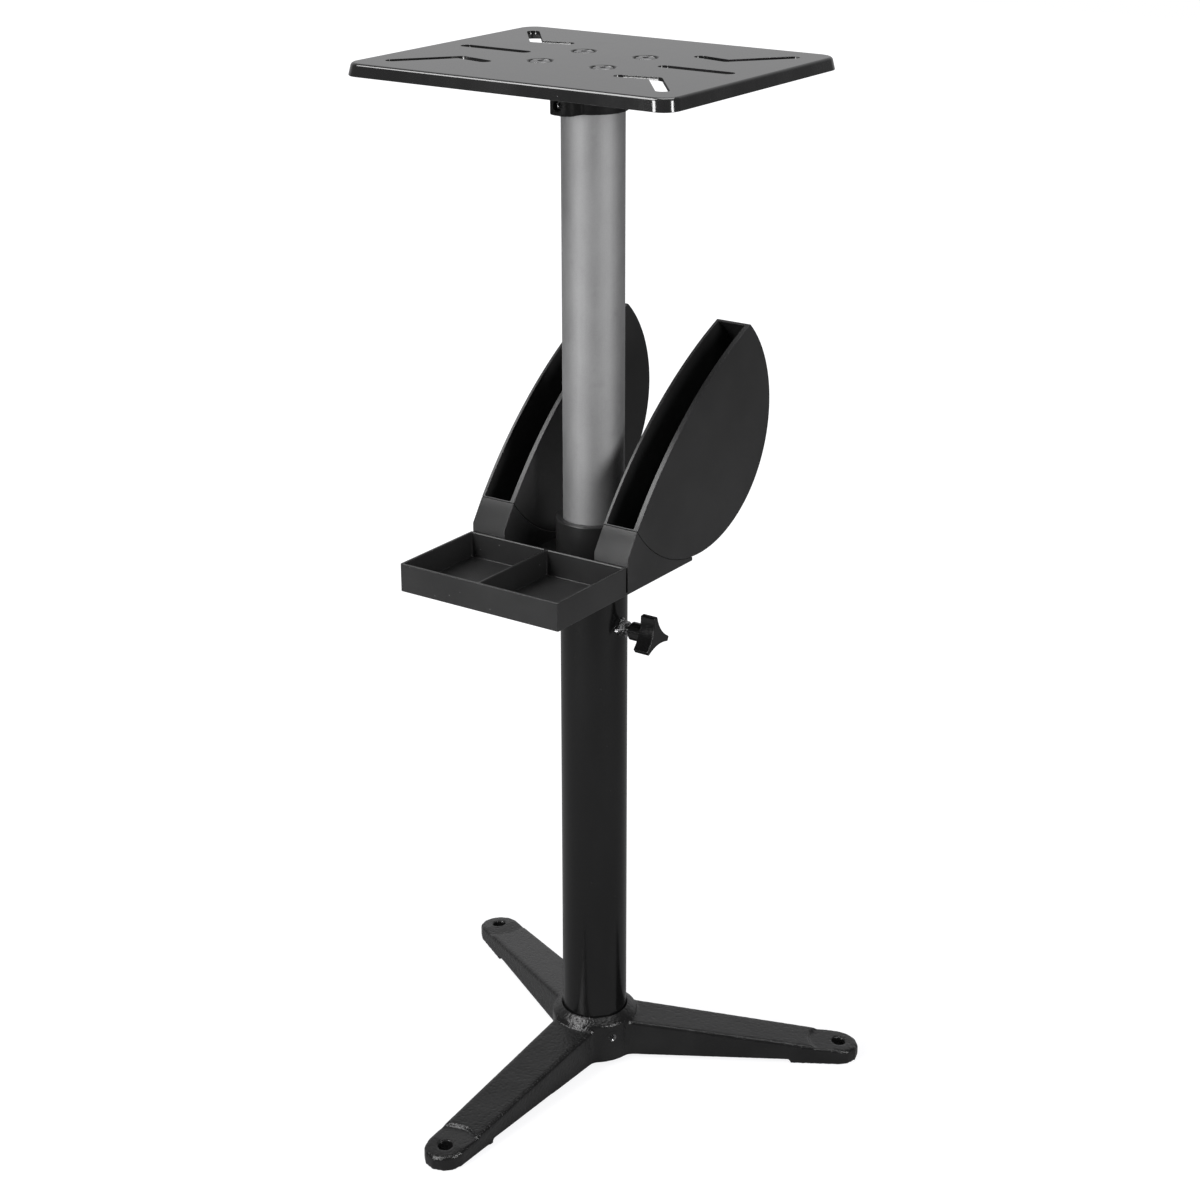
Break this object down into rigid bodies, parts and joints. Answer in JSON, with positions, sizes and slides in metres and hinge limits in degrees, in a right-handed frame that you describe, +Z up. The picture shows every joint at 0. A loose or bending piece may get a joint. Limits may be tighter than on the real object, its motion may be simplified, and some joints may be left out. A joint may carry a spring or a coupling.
{
  "type": "bench grinder stand",
  "caption": "Free-standing column stand for a bench grinder, with a tripod cast base, a knob-clamped telescopic tube, a slotted table and a tool tray with wheel pockets.",
  "frame": {"origin": "on the floor, on the column's axis", "axes": "+Z up along the column; -Y towards the tool tray and the front leg; +X towards the clamp knob"},
  "size_m": [0.4398, 0.4105, 0.933],
  "materials": {
    "cast_enamel": "black enamel over rough cast iron",
    "gloss_enamel": "gloss black paint on steel tube",
    "table_enamel": "semi-gloss black paint on steel sheet",
    "bare_steel": "satin zinc-grey drawn tube",
    "plated_steel": "bright zinc plating",
    "dark_steel": "dark oxide",
    "knob_plastic": "satin black moulding",
    "tray_plastic": "satin black moulding with a fine grain"
  },
  "bodies": {
    "base": {"base_casting": "cast_enamel", "base_set_screw": "dark_steel", "outer_tube": "gloss_enamel", "clamp_nut": "plated_steel"},
    "tray": {"tool_tray": "tray_plastic", "wheel_pocket_left": "tray_plastic", "wheel_pocket_right": "tray_plastic"},
    "column": {"inner_tube": "bare_steel"},
    "table": {"table_plate": "table_enamel", "table_flange": "cast_enamel", "flange_set_screw": "dark_steel", "table_screw_1": "dark_steel", "table_screw_2": "dark_steel", "table_screw_3": "dark_steel", "table_screw_4": "dark_steel", "table_nut_1": "plated_steel", "table_nut_2": "plated_steel", "table_nut_3": "plated_steel", "table_nut_4": "plated_steel"},
    "stud": {"clamp_stud": "plated_steel"},
    "knob": {"clamp_knob": "knob_plastic"}
  },
  "joints": [
    {"name": "column_slide", "type": "slide", "parent": "base", "child": "column", "axis": [0, 0, 1], "range_m": [-0.2, 0.06]},
    {"name": "table_swivel", "type": "hinge", "parent": "column", "child": "table", "pos_m": [0, 0, 0.909], "axis": [0, 0, 1], "range_deg": [-180, 180]},
    {"name": "tray_swivel", "type": "hinge", "parent": "base", "child": "tray", "pos_m": [0, 0, 0.534], "axis": [0, 0, 1], "range_deg": [-90, 90]},
    {"name": "stud_feed", "type": "slide", "parent": "base", "child": "stud", "axis": [1, 0, 0], "range_m": [0, 0.005]},
    {"name": "knob_turn", "type": "hinge", "parent": "stud", "child": "knob", "pos_m": [0.06, 0, 0.437], "axis": [1, 0, 0], "range_deg": [0, 1440]}
  ],
  "couplings": [
    {"joint": "knob_turn", "follows": "stud_feed", "rad_per_m": 5026.5}
  ]
}
